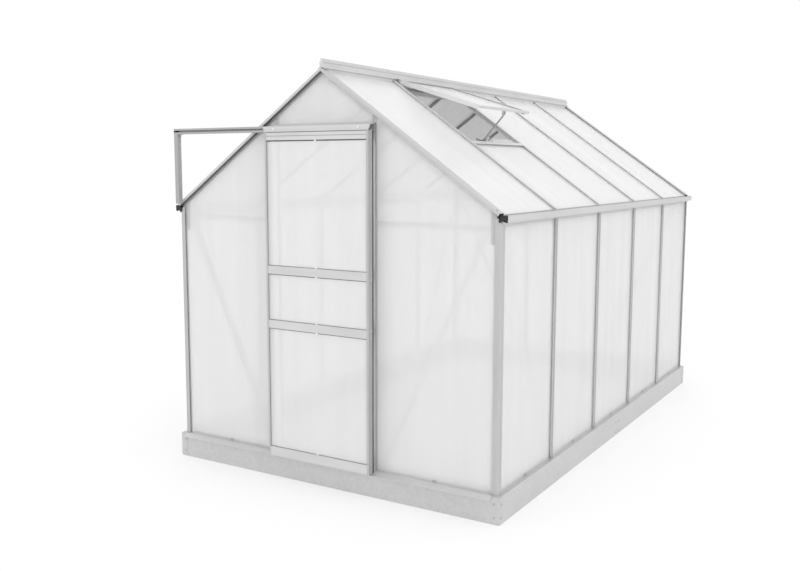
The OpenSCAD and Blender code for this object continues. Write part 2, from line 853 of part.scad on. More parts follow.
// The right slope's bars
module roof_bars() {
    for (y = bar_ys()) {
        difference() {
            right_slope() translate([0, y, 0]) up_slope(big / 2) {
                bar_cap();
                bar_web();
            }
            beyond_ridge_and_gutter(ridge_w / 2, big / 2);
        }
        difference() {
            right_slope() translate([0, y, 0]) up_slope(big / 2) bar_back();
            beyond_ridge_and_gutter(ridge_w / 2, gutter_in_x);
        }
    }
}

module roof_bars_right() alu() roof_bars();
module roof_bars_left() alu() mirror([1, 0, 0]) roof_bars();

// Places of the bolts through the ridge beam's wings and the roof bars' channels, on the right
module ridge_bolt_places() {
    x = ridge_w / 2 + wing_w / 2;
    right_slope()
        for (y = bar_ys())
            translate([(x - eave_x + bar_d * sin(roof_pitch)) / cos(roof_pitch), y, -bar_d]) children();
}

// Section of the right half of the ridge beam: x across the building, y is height
module ridge_half() {
    half = ridge_w / 2;
    bottom = roof_z(half, bar_d + wing_t);
    translate([half - ridge_t, bottom]) square([ridge_t, ridge_lip_z - bottom]);
    translate([0, bottom]) square([half, ridge_t]);
    translate([fin_w / 2 - ridge_t, ridge_lip_z - ridge_t])
        square([half + ridge_lip - fin_w / 2 + ridge_t, ridge_t]);
    translate([fin_w / 2 - ridge_t, ridge_lip_z - 0.5]) square([ridge_t, fin_h + 0.5]);
    translate([0, ridge_top - ridge_t]) square([fin_w / 2, ridge_t]);
    // The hinge bead runs the whole length
    translate([half - 0.5, hinge_z - bead_t / 2]) square([hinge_x - half + 0.5, bead_t]);
    translate([hinge_x, hinge_z]) circle(r = bead_r, $fn = 48);
}

// Sloping wing under the bars' channels
module ridge_wing() {
    half = ridge_w / 2;
    polygon([
        [half - ridge_t, roof_z(half - ridge_t, bar_d)], [half + wing_w, roof_z(half + wing_w, bar_d)],
        [half + wing_w, roof_z(half + wing_w, bar_d + wing_t)],
        [half - ridge_t, roof_z(half - ridge_t, bar_d + wing_t)]
    ]);
}

// Outline of the plates that close the ridge beam's ends
module ridge_end_outline() {
    translate([-ridge_w / 2, ridge_top - ridge_rise]) square([ridge_w, ridge_rise - fin_h]);
    translate([-fin_w / 2, ridge_lip_z - 1]) square([fin_w, fin_h + 1]);
}

// The plane of the rafters' tops, and all below it, at the front end of the ridge beam
module under_rafter_tops() difference() {
    translate([-big / 2, -big - rafter_y + rafter_w + gap, 0]) cube(big);
    above_roof(-gap);
}

module ridge_beam() alu() difference() {
    half_l = rafter_y - ridge_end_in;
    inside = rafter_y - rafter_w - gap;
    union() {
        for (side = [0, 1]) mirror([side, 0, 0]) {
            translate([0, half_l, 0]) rotate([90, 0, 0]) linear_extrude(2 * half_l) ridge_half();
            translate([0, inside, 0]) rotate([90, 0, 0]) linear_extrude(2 * inside) ridge_wing();
        }
        for (end = [0, 1]) mirror([0, end, 0])
            translate([0, -half_l + ridge_t, 0]) rotate([90, 0, 0])
                linear_extrude(ridge_t) ridge_end_outline();
    }
    for (end = [0, 1]) mirror([0, end, 0]) under_rafter_tops();
    for (side = [0, 1]) mirror([side, 0, 0]) ridge_bolt_places() bolt_hole();
}

// Gable frame

// The beam across the front above the door, behind the track
module header_beam() alu() {
    front = -wall_y - rafter_out;
    between = jamb_x - bar_w / 2 - gap;
    translate([-beam_half, front, beam_z]) {
        cube([2 * beam_half, beam_t, beam_h]);
        cube([2 * beam_half, rafter_out, beam_t]);
        translate([0, 0, beam_h - beam_t]) cube([2 * beam_half, rafter_out, beam_t]);
    }
    translate([-between, -wall_y - 1, beam_top - beam_t]) cube([2 * between, inner_d, beam_t]);
    translate([-between, -wall_y + sill_lip_d, beam_top - beam_t])
        cube([2 * between, bar_t, lip_h + beam_t]);
}

// Places of the bolts through a crossbar and its gable bar's channel
module crossbar_bolt_places() {
    for (side = [-1, 1])
        translate([side * jamb_x, -wall_y + bar_d, crossbar_z + crossbar_h / 2 - 2])
            rotate([90, 0, 0]) children();
}

// One half of a crossbar: an angle, with its flat leg reaching to the post's flange
module crossbar_half(start) {
    outer = gutter_in_x - 2;
    flat_x = jamb_x + bar_w / 2 + 2;
    translate([start, -wall_y + bar_d, crossbar_z])
        cube([wall_x - tail_in - 2 - start, bar_t, crossbar_h]);
    translate([flat_x, -wall_y + seat_d + bar_t, crossbar_z + crossbar_h - bar_t])
        cube([outer - flat_x, bar_d - seat_d, bar_t]);
}

module gable_crossbars() alu() difference() {
    union() {
        for (side = [0, 1]) mirror([side, 0, 0]) crossbar_half(jamb_x - bar_w / 2 + 2);
        mirror([0, 1, 0]) for (side = [0, 1]) mirror([side, 0, 0]) crossbar_half(0);
    }
    crossbar_bolt_places() bolt_hole();
    mirror([0, 1, 0]) crossbar_bolt_places() bolt_hole();
}

// A plate behind each rafter's foot that ties it to the corner post
module eave_bracket() difference() {
    x0 = wall_x - tail_in;
    x1 = gutter_in_x - 1;
    z0 = crossbar_z + crossbar_h + 5;
    translate([0, -wall_y + seat_d + bar_t + brace_t, 0]) rotate([90, 0, 0]) linear_extrude(brace_t)
        polygon([[x0, z0], [x1, z0], [x1, roof_z(x0)], [x0, roof_z(x0)]]);
    above_roof(seat_d + 2 * bar_t);
}

module eave_brackets() steel() all_corners() eave_bracket();

// Track for the door

module door_track() alu() {
    length = track_x1 - track_x0;
    inner_h = track_h - 2 * track_t;
    slot_z = (track_h - track_slot) / 2;
    // The wheels run in the front chamber
    back_y = 2 * track_t + track_room;
    translate([track_x0, track_y, track_z]) difference() {
        cube([length, track_d, track_h]);
        translate([-1, track_t, track_t]) cube([length + 2, track_room, inner_h]);
        translate([-1, back_y, track_t]) cube([length + 2, track_d - track_t - back_y, inner_h]);
        translate([-1, -1, slot_z]) cube([length + 2, track_t + 2, track_slot]);
    }
}

// A cap closes the track's far end, and a block inside the near end stops the closing door
module track_stops() black() {
    inner_h = track_h - 2 * track_t;
    translate([track_x0, track_y + track_t, track_z + track_t]) cube([track_cap_l, track_room, inner_h]);
    translate([track_x0 - 1.5, track_y, track_z]) cube([1.5, track_d, track_h]);
    translate([axle_x + wheel_r + 2, track_y + track_t, track_z + track_t]) cube([10, track_room, inner_h]);
}

// An angle that hangs the track's end on the strut. It ends 2 mm short of the open door
module strut_bracket() {
    leg = track_x0 + track_spare - 2 - (strut_x + bar_w / 2);
    depth = bar_d - seat_d + 2;
    translate([strut_x + bar_w / 2, track_y + track_d - depth, track_z - leg]) {
        cube([brace_t, depth, leg]);
        translate([0, 0, leg - brace_t]) cube([leg, depth, brace_t]);
    }
}

// The upright channel that carries the track's far end, with its back on the rafter's front
module track_strut() alu() {
    translate([strut_x - bar_w / 2, track_y + track_d - bar_d, strut_foot])
        linear_extrude(track_z - strut_foot) difference() {
            square([bar_w, bar_d]);
            translate([-1, brace_t]) square([bar_w - brace_t + 1, bar_d - 2 * brace_t]);
        }
    strut_bracket();
}

// Braces

module side_brace() {
    top = [-wall_y + post_side_w + 10, head_bolt_z - 2];
    foot = [-wall_y + bay_l - bar_w - 10, foot_bolt_z];
    translate([wall_x - inner_d, 0, 0]) rotate([0, 0, 90]) strip(top, foot, brace_w, brace_t);
}

module wall_braces() alu() all_corners() side_brace();

module end_brace() {
    top = [wall_x - tail_in - brace_w / 2 - 4, crossbar_z + 12];
    foot = [jamb_x + bar_w + 16, foot_bolt_z];
    translate([0, -wall_y + inner_d, 0]) strip(top, foot, brace_w, brace_t);
}

module gable_braces() alu() all_corners() end_brace();

// Panels

module wall_panels() {
    post_edge = wall_y - post_web - bar_t - panel_play;
    edges = concat([-post_edge], bar_ys(), [post_edge]);
    lap = web_t / 2 + panel_play;
    for (i = [0 : bays - 1]) {
        y0 = edges[i] + (i == 0 ? 0 : lap);
        y1 = edges[i + 1] - (i == bays - 1 ? 0 : lap);
        translate([wall_x - seat_d, y0, sill_top]) cube([panel_t, y1 - y0, wall_h - sill_t - 1]);
    }
}

module wall_panels_right() sheet() wall_panels();
module wall_panels_left() sheet() mirror([1, 0, 0]) wall_panels();

// The right slope's panels; the bay with the vent has only its lower part
module roof_panels(with_vent) {
    edge = rafter_y - rafter_out - seat_d - bar_t - panel_play;
    edges = concat([-edge], bar_ys(), [edge]);
    lap = web_t / 2 + panel_play;
    for (i = [0 : bays - 1]) {
        y0 = edges[i] + (i == 0 ? 0 : lap);
        y1 = edges[i + 1] - (i == bays - 1 ? 0 : lap);
        short = with_vent && i == vent_bay - 1;
        s0 = short ? transom_s + transom_web + bar_t + panel_play : -panel_l;
        right_slope() translate([s0, y0, -seat_d]) cube([-panel_eave - s0, y1 - y0, panel_t]);
    }
}

module roof_panels_right() sheet() roof_panels(true);
module roof_panels_left() sheet() mirror([1, 0, 0]) roof_panels(false);

// A gable panel from one place across the gable to another, up to the rafter or a given height
module gable_panel(x0, x1, z0) difference() {
    translate([x0, -wall_y + bar_stand, z0]) cube([x1 - x0, panel_t, big / 2]);
    above_roof(rafter_t * 2);
}

module gable_side_panel() gable_panel(
    jamb_x + web_t / 2 + panel_play, wall_x - post_web - bar_t - panel_play, sill_top
);

module gable_mid_panel(z0) {
    half = jamb_x - web_t / 2 - panel_play;
    gable_panel(-half, half, z0);
}

module gable_panels_front() sheet() {
    for (side = [0, 1]) mirror([side, 0, 0]) gable_side_panel();
    gable_mid_panel(beam_top);
}

module gable_panels_back() sheet() mirror([0, 1, 0]) {
    for (side = [0, 1]) mirror([side, 0, 0]) gable_side_panel();
    gable_mid_panel(sill_top);
}

// A spring clip hooked over a sill's lip, with x along the sill and y inwards
module sill_clip() {
    width = 20;
    thick = 2;
    out = sill_lip_d - thick;
    translate([-width / 2, out, 3]) cube([width, thick, lip_h + 1]);
    translate([-width / 2, out, lip_h]) cube([width, bar_stand - out, thick]);
}

module panel_clips() steel() {
    mid_bays = [for (i = [0 : bays - 1]) -wall_y + (i + 0.5) * bay_l];
    side_mid = (jamb_x + wall_x) / 2;
    for (side = [0, 1]) mirror([side, 0, 0]) {
        for (y = mid_bays) translate([wall_x, y, base_h]) rotate([0, 0, 90]) sill_clip();
        translate([side_mid, -wall_y, base_h]) sill_clip();
        mirror([0, 1, 0]) translate([side_mid, -wall_y, base_h]) sill_clip();
    }
}

module frame_bolts() steel() {
    for (side = [0, 1]) mirror([side, 0, 0]) {
        side_foot_places() channel_bolt(bar_t);
        side_head_places() channel_bolt(bar_t);
        ridge_bolt_places() channel_bolt(wing_t);
    }
    for (end = [0, 1]) mirror([0, end, 0]) {
        gable_foot_places() channel_bolt(bar_t);
        crossbar_bolt_places() channel_bolt(bar_t);
    }
    all_corners() rafter_bolt_place() bolt(rafter_t);
}

// Roof vent

// The bar below the vent, between the two roof bars beside it
module vent_transom() alu() {
    span = vent_w + 2 * vent_gap;
    y0 = vent_y0 - vent_gap;
    seat_s = transom_s - transom_seat;
    right_slope() {
        difference() {
            union() {
                // Seat for the closed vent and for the lower panel, between the bars' flanges
                translate([seat_s, y0, -seat_d - bar_t])
                    cube([transom_seat + bar_w, span, bar_t]);
                // Upright and cap
                translate([transom_s + transom_web, y0 + gap, -seat_d - 0.5])
                    cube([bar_t, span - 2 * gap, seat_d + 0.5]);
                translate([transom_s, y0 + gap, -bar_t]) cube([bar_w, span - 2 * gap, bar_t]);
            }
            // Notch for the stay
            translate([seat_s - 1, vent_mid - notch_front, -seat_d - bar_t - 1])
                cube([transom_seat + 7, notch_front + notch_back, bar_t + 2]);
        }
        peg_post();
    }
    stay_peg();
}

// A post on the transom's cap that carries the stay's peg
module peg_post() {
    width = 14;
    height = peg_n + 14;
    translate([transom_s, vent_mid - stay_reach - width / 2, -bar_t])
        cube([peg_post_t, width, height]);
}

// The peg stands square to the stay; its tip stops just short of the stay's hole
module stay_peg() {
    tilt = roof_pitch + stay_angle - 90;
    start = stay_t / 2 + peg_gap;
    length = (transom_s + peg_post_t / 2 - peg_s) / cos(tilt) - start;
    translate([peg_x, vent_mid - stay_reach, peg_z]) rotate([0, 180 - stay_angle, 0])
        translate([0, 0, start]) cylinder(r = peg_r, h = length, $fn = 32);
}

// Puts a shape of the vent in place: x runs down the vent from the hinge, z out of it
module on_vent() translate([hinge_x, 0, hinge_z]) rotate([0, vent_slope, 0]) children();

// The head rail ends in a curl that turns on the ridge beam's bead
module vent_head_rail() alu() on_vent() translate([0, vent_y1, 0]) rotate([90, 0, 0])
    linear_extrude(vent_w) {
        inner = bead_r + bead_play;
        outer = inner + curl_t;
        mouth = 100;
        difference() {
            circle(r = outer, $fn = 48);
            circle(r = inner, $fn = 48);
            rotate(180 + vent_slope) polygon([
                [0, 0], [big * cos(mouth / 2), big * sin(mouth / 2)],
                [big * cos(mouth / 2), -big * sin(mouth / 2)]
            ]);
        }
        // Top plate, upright and the ledge that holds the panel
        translate([inner + 0.5, vent_top - vent_t]) square([vent_head_l - inner - 0.5, vent_t]);
        translate([vent_head_l / 2, vent_panel_z - vent_t]) square([vent_t, vent_top - vent_panel_z]);
        translate([vent_head_l / 2, vent_panel_z - vent_t]) square([vent_head_l / 2, vent_t]);
    }

// Section of a vent rail: x runs from its outer face towards the panel, y is height
module vent_rail_section(width) {
    translate([0, vent_top - vent_d]) square([vent_t, vent_d]);
    translate([0, vent_top - vent_t]) square([width, vent_t]);
    translate([0, vent_panel_z - vent_t]) square([vent_ledge, vent_t]);
    translate([0, vent_top - vent_d]) square([vent_ledge, vent_t]);
}

module vent_side_rails() alu() on_vent() {
    run = vent_l - vent_foot_l - vent_head_l;
    translate([vent_head_l, vent_y0, 0]) rotate([90, 0, 90])
        linear_extrude(run) vent_rail_section(vent_rail_w);
    translate([vent_head_l, vent_y1, 0]) rotate([90, 0, 90])
        linear_extrude(run) mirror([1, 0]) vent_rail_section(vent_rail_w);
}

// Section of the bottom rail: x runs from its lower edge up the vent, y is height. Its edge is thin,
// and its hollow back stands away from it
module vent_foot_section() {
    under = vent_panel_z - vent_t;
    edge_h = vent_top - under;
    translate([0, under]) square([vent_t, edge_h]);
    translate([0, vent_top - vent_t]) square([vent_foot_l, vent_t]);
    translate([0, under]) square([vent_foot_l, vent_t]);
    for (x = [vent_foot_back, vent_foot_l - vent_t])
        translate([x, vent_top - vent_foot_d]) square([vent_t, under + 0.5 - vent_top + vent_foot_d]);
    translate([vent_foot_back, vent_top - vent_foot_d]) square([vent_foot_l - vent_foot_back, vent_t]);
}

// The bottom rail, with two lugs that hold the stay's pivot pin
module vent_bottom_rail() alu() on_vent() {
    translate([vent_l, vent_y1, 0]) rotate([90, 0, 0]) linear_extrude(vent_w)
        mirror([1, 0]) vent_foot_section();
    inside = eye_w / 2 + gap;
    below = pivot_lug_w / 2;
    for (side = [0, 1])
        translate([pivot_s - below, vent_mid, pivot_n - below]) mirror([0, side, 0])
            translate([0, inside, 0])
                cube([pivot_lug_w, pivot_lug_t, vent_top - vent_foot_d - pivot_n + below + 1]);
    translate([pivot_s, vent_mid + inside + 1, pivot_n]) rotate([90, 0, 0])
        cylinder(r = pivot_r, h = 2 * inside + 2, $fn = 48);
}

module vent_panel() sheet() on_vent() {
    s0 = vent_head_l / 2 + vent_t + panel_play;
    s1 = vent_l - vent_t - panel_play;
    side = vent_t + panel_play;
    translate([s0, vent_y0 + side, vent_panel_z]) cube([s1 - s0, vent_w - 2 * side, panel_t]);
}

// Outline of the stay: x down its face from the pivot, y towards the back of the building
module stay_outline() {
    // The neck starts inside the wall of the eye
    start = pivot_r + pivot_play + 0.8;
    translate([start, -stay_w / 2]) square([stay_neck + 2 - start, stay_w]);
    translate([stay_neck, 0]) rotate(-stay_lean) difference() {
        union() {
            circle(r = handle_w / 2, $fn = 40);
            translate([0, -stay_w / 2]) square([stay_end + 0.5, stay_w]);
            translate([stay_end, -handle_r]) handle_outline();
        }
        for (i = [0 : stay_holes - 1])
            translate([stay_l - i * stay_hole_pitch, 0]) circle(r = peg_r + 0.6, $fn = 32);
    }
}

// The handle, around the centre of its curve: the curve and the rounded end are its widest parts
module handle_outline() {
    far = 2 * handle_r;
    intersection() {
        difference() {
            circle(r = handle_r + handle_w / 2, $fn = 96);
            circle(r = handle_r - handle_w / 2, $fn = 96);
        }
        rotate(90 - handle_turn) polygon([
            [0, 0], [far, 0], [far * cos(handle_turn / 2), far * sin(handle_turn / 2)],
            [far * cos(handle_turn), far * sin(handle_turn)]
        ]);
    }
    rotate(-handle_turn) translate([-0.5, handle_r - stay_w / 2]) square([handle_l, stay_w]);
    rotate(-handle_turn) translate([handle_l - 0.5, handle_r]) circle(r = handle_w / 2, $fn = 40);
}

// The stay: a flat arm that hangs on the vent's pivot pin and leans to the front
module vent_stay() steel()
    translate([pivot_x, vent_mid, pivot_z]) rotate([0, 180 - stay_angle, 0]) {
        rotate([90, 0, 0]) linear_extrude(eye_w, center = true) difference() {
            circle(r = eye_r, $fn = 48);
            circle(r = pivot_r + pivot_play, $fn = 48);
        }
        translate([0, 0, -stay_t / 2]) linear_extrude(stay_t) stay_outline();
    }

// Door

function rail_zs() = [
    [door_bottom, bottom_rail_h],
    [door_bottom + low_rail_z, mid_rail_h],
    [door_bottom + high_rail_z, mid_rail_h],
    [header_z, header_box_h]
];

// Places of the screws through the right stile into the ports of the rails
module stile_screw_places() {
    inset = ledge - screw_port / 2;
    for (rail = rail_zs(), up = [inset, rail[1] - inset])
        translate([door_w / 2, door_y + door_d / 2, rail[0] + up]) rotate([0, 90, 0]) children();
}

module screw_hole() translate([0, 0, -screw_l - 1]) cylinder(r = screw_r + 0.1, h = screw_l + 3, $fn = 20);

// A door rail without its front board: two flanges with a screw port on each
module rail_core(height) {
    half = door_w / 2 - door_t;
    depth = door_d - 2 * door_t - 2;
    for (flip = [0, 1])
        translate([0, 0, flip * height]) mirror([0, 0, flip]) {
            translate([-half, door_y + door_t, ledge]) cube([2 * half, depth, door_t]);
            translate([-half, door_y + door_d / 2 - screw_port / 2, ledge - screw_port])
                cube([2 * half, screw_port, door_t + screw_port]);
        }
}

module door_stiles() alu() difference() {
    for (side = [0, 1]) mirror([side, 0, 0]) {
        height = stile_top - door_bottom;
        translate([door_w / 2 - door_t, door_y, door_bottom]) cube([door_t, door_d, height]);
        for (back = [0, 1])
            translate([door_w / 2 - stile_lip, door_y + back * (door_d - door_t), door_bottom])
                cube([stile_lip, door_t, height]);
    }
    for (side = [0, 1]) mirror([side, 0, 0]) stile_screw_places() screw_hole();
}

module door_rails() alu() difference() {
    board = door_w / 2 - stile_lip;
    for (i = [0 : 2]) {
        z = rail_zs()[i][0];
        height = rail_zs()[i][1];
        translate([-board, door_y, z]) cube([2 * board, door_t, height]);
        translate([0, 0, z]) rail_core(height);
    }
    for (side = [0, 1]) mirror([side, 0, 0]) stile_screw_places() screw_hole();
}

// Places of the wheel axles, at the front of the track cover
module axle_places() {
    for (side = [-1, 1])
        translate([side * axle_x, door_y - cover_t, wheel_z]) rotate([90, 0, 0]) children();
}

// Header: a box under the track, a board up the front and the strip that covers the track
module door_header() alu() {
    half = door_w / 2;
    board = half - stile_lip;
    cover_half = half + cover_overlap;
    difference() {
        union() {
            translate([-board, door_y, header_z]) cube([2 * board, door_t, header_box_h]);
            translate([-half, door_y, stile_top]) cube([door_w, door_t, door_top - stile_top]);
            translate([-cover_half, door_y - cover_t, cover_z])
                cube([2 * cover_half, door_t + cover_t, track_cover_h]);
            translate([0, 0, header_z]) rail_core(header_box_h);
        }
        for (z = [stile_top, header_z + groove_z])
            translate([-cover_half, door_y - 1, z - groove_w / 2])
                cube([2 * cover_half, 1 + groove_depth, groove_w]);
        for (side = [0, 1]) mirror([side, 0, 0]) stile_screw_places() screw_hole();
        axle_places() translate([0, 0, -5]) cylinder(r = axle_r + 0.05, h = 10, $fn = 32);
    }
}

module door_panels() sheet() {
    half = door_w / 2 - door_t - panel_play;
    zs = rail_zs();
    for (i = [0 : 2]) {
        z0 = zs[i][0] + zs[i][1] - ledge;
        z1 = zs[i + 1][0] + ledge - panel_play;
        translate([-half, door_panel_y, z0]) cube([2 * half, panel_t, z1 - z0]);
    }
}

// Clips at the middle of each panel's upper and lower edge
module door_clips() steel() {
    zs = rail_zs();
    clip_w = 12;
    clip_h = 8;
    clip_t = 2;
    for (i = [0 : 2]) {
        low = zs[i][0] + zs[i][1];
        high = zs[i + 1][0];
        for (z = [low, high - clip_h])
            translate([-clip_w / 2, door_panel_y - clip_t, z]) cube([clip_w, clip_t, clip_h]);
    }
}

// The stiles' screws and the two wheel axles with their heads
module door_screws() steel() {
    for (side = [0, 1]) mirror([side, 0, 0])
        stile_screw_places() {
            cylinder(r = 2 * screw_r, h = screw_r, $fn = 24);
            translate([0, 0, -screw_l]) cylinder(r = screw_r, h = screw_l + 0.1, $fn = 20);
        }
    axle_places() {
        cylinder(r = axle_head_r, h = axle_head_h, $fn = 32);
        translate([0, 0, -axle_l]) cylinder(r = axle_r, h = axle_l + 0.1, $fn = 40);
        translate([0, 0, -axle_l]) cylinder(r = axle_collar_r, h = axle_head_h, $fn = 32);
        translate([0, 0, -to_wheel + gap])
            cylinder(r = axle_collar_r, h = to_wheel - gap - door_t - cover_t, $fn = 32);
    }
}

// A grooved wheel that hangs the door in its track
module wheel() rotate([-90, 0, 0]) rotate_extrude($fn = 96) {
    bore = axle_r + axle_play;
    polygon([
        [bore, 0], [wheel_r - 1.2, 0], [wheel_r, 1.2], [wheel_r, wheel_w - 1.2],
        [wheel_r - 1.2, wheel_w], [bore, wheel_w]
    ]);
}

module wheel_left() black() translate([-axle_x, wheel_y, wheel_z]) wheel();
module wheel_right() black() translate([axle_x, wheel_y, wheel_z]) wheel();

base_front();
base_back();
base_right_front();
base_right_rear();
base_left_front();
base_left_rear();
base_corner_plates();
base_bolts();
corner_post_front_right();
corner_post_front_left();
corner_post_back_right();
corner_post_back_left();
wall_bars_right();
wall_bars_left();
side_sill_right();
side_sill_left();
sill_front();
sill_back();
gutter_right();
gutter_left();
end_caps();
rafter_front_right();
rafter_front_left();
rafter_back_right();
rafter_back_left();
roof_bars_right();
roof_bars_left();
ridge_beam();
door_jambs();
back_posts();
gable_crossbars();
header_beam();
eave_brackets();
door_track();
track_stops();
track_strut();
wall_braces();
gable_braces();
wall_panels_right();
wall_panels_left();
roof_panels_right();
roof_panels_left();
gable_panels_front();
gable_panels_back();
panel_clips();
frame_bolts();
vent_transom();
vent_head_rail();
vent_side_rails();
vent_bottom_rail();
vent_panel();
vent_stay();
door_stiles();
door_rails();
door_header();
door_panels();
door_clips();
door_screws();
wheel_left();
wheel_right();
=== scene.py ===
import math

import bpy
from mathutils import Matrix, Vector

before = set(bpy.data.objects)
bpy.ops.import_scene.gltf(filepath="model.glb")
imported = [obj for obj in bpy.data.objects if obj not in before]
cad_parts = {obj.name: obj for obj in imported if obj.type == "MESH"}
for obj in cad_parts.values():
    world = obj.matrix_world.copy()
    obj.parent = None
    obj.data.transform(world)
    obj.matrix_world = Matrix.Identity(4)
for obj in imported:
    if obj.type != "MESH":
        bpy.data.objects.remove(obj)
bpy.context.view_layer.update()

# The photograph's size in pixels, and the width of the camera's sensor in millimetres
IMAGE_W = 800
IMAGE_H = 571
SENSOR = 36.0

# Turns of the texture coordinates: they bring the length of a group of pieces to the first axis,
# and the line across a sheet's ribs to the second
QUARTER = math.radians(90)
ROOF_PITCH = math.radians(35.2)
VENT_PITCH = math.radians(17.4)
ACROSS = (0.0, 0.0, 0.0)
LENGTHWISE = (0.0, 0.0, QUARTER)
UPRIGHT = (0.0, QUARTER, 0.0)
UPRIGHT_GABLE = (QUARTER, 0.0, QUARTER)
RIGHT_SLOPE = (0.0, -ROOF_PITCH, 0.0)
LEFT_SLOPE = (0.0, ROOF_PITCH, 0.0)
VENT_SLOPE = (0.0, -VENT_PITCH, 0.0)

# Scales that draw a noise out along the first axis
DRAW_LINES = (0.02, 1.0, 1.0)
BLOOM = (0.2, 1.0, 1.0)
DRIFT = (0.25, 3.0, 3.0)

# Most values of a noise lie between these two
NOISE_LOW = 0.3
NOISE_HIGH = 0.7

# The part of a face's normal along an axis at which the face starts to count as looking that way,
# and counts in full; for an underside, where it counts in full, and where it stops
FACING = (0.6, 0.8)
UNDERSIDE = (-0.6, -0.4)

# Painted shade in bands, where shadow falls in gaps, grooves and under rails. Each is the way that
# its faces look, the axis that it is measured along, its two ends in metres and its grey level,
# and fades out over the fade length below.
SHADE_BAND_FADE = 0.0008
# Painted shade on the back edge of the stiles' sides, at the gap to the jambs, and on the sides of
# the left stile
STILE_SHADE_BANDS = (("X", "Y", -1.594, -1.585, 60), ("X", "X", -0.31, -0.26, 96))
# Painted shade in the header's two grooves
HEADER_SHADE_BANDS = (("Y", "Z", 1.7275, 1.7305, 120), ("Y", "Z", 1.7095, 1.7120, 165))
# Each of the door's sheets: the top of the rail under it, the bottom of the rail or header over
# it, and the height and level of the painted shade under that rail or header. The painted shade
# over each lower rail is the same.
DOOR_SHEETS = ((0.172, 0.775, 0.004, 105), (0.815, 1.044, 0.004, 105), (1.084, 1.691, 0.0055, 60))
LOW_SHADE = 0.0025
LOW_LEVEL = 150

# Twin-wall sheet: the ribs' distance in metres, the heights of the wave at which a rib sets in and
# is full, the part of the clear light that a rib lets pass, how much the cloudiness wanders, and
# the linear grey that tints clear light
FLUTE = 0.0057
RIB = (0.55, 0.98)
RIB_PASS = 0.85
CLOUD_WANDER = 0.006
CLEAR_TINT = 0.99
# A sheet's grey level, the share that light passes clear and the share that glows through
WALL_SHEET = {"level": 253, "share_clear": 0.38, "share_glow": 0.2}
ROOF_SHEET = {"level": 254, "share_clear": 0.24, "share_glow": 0.16}

# The floor: its half width and its depth under the house in metres, its own grey, its share of
# white, and where the white sets in across and along the house's footprint
FLOOR_HALF = 30.0
FLOOR_DROP = 0.001
FLOOR_MATT = 0.97
FLOOR_WHITE = 0.5
WHITE_ACROSS = (0.90, 0.94)
WHITE_ALONG = (1.54, 1.58)

# The room: the strength of its light, the strength that is seen, and the lamp
ROOM_LIGHT = 0.965
ROOM_SEEN = 1.0
LAMP_ENERGY = 0.6
LAMP_ANGLE = math.radians(80)
LAMP_DIRECTION = (-0.5, 0.45, -0.75)


def srgb(value):
    """The linear value of a grey or colour level written from 0 to 255."""
    c = value / 255
    return c / 12.92 if c <= 0.04045 else ((c + 0.055) / 1.055) ** 2.4


def colour(red, green, blue):
    return (srgb(red), srgb(green), srgb(blue), 1.0)


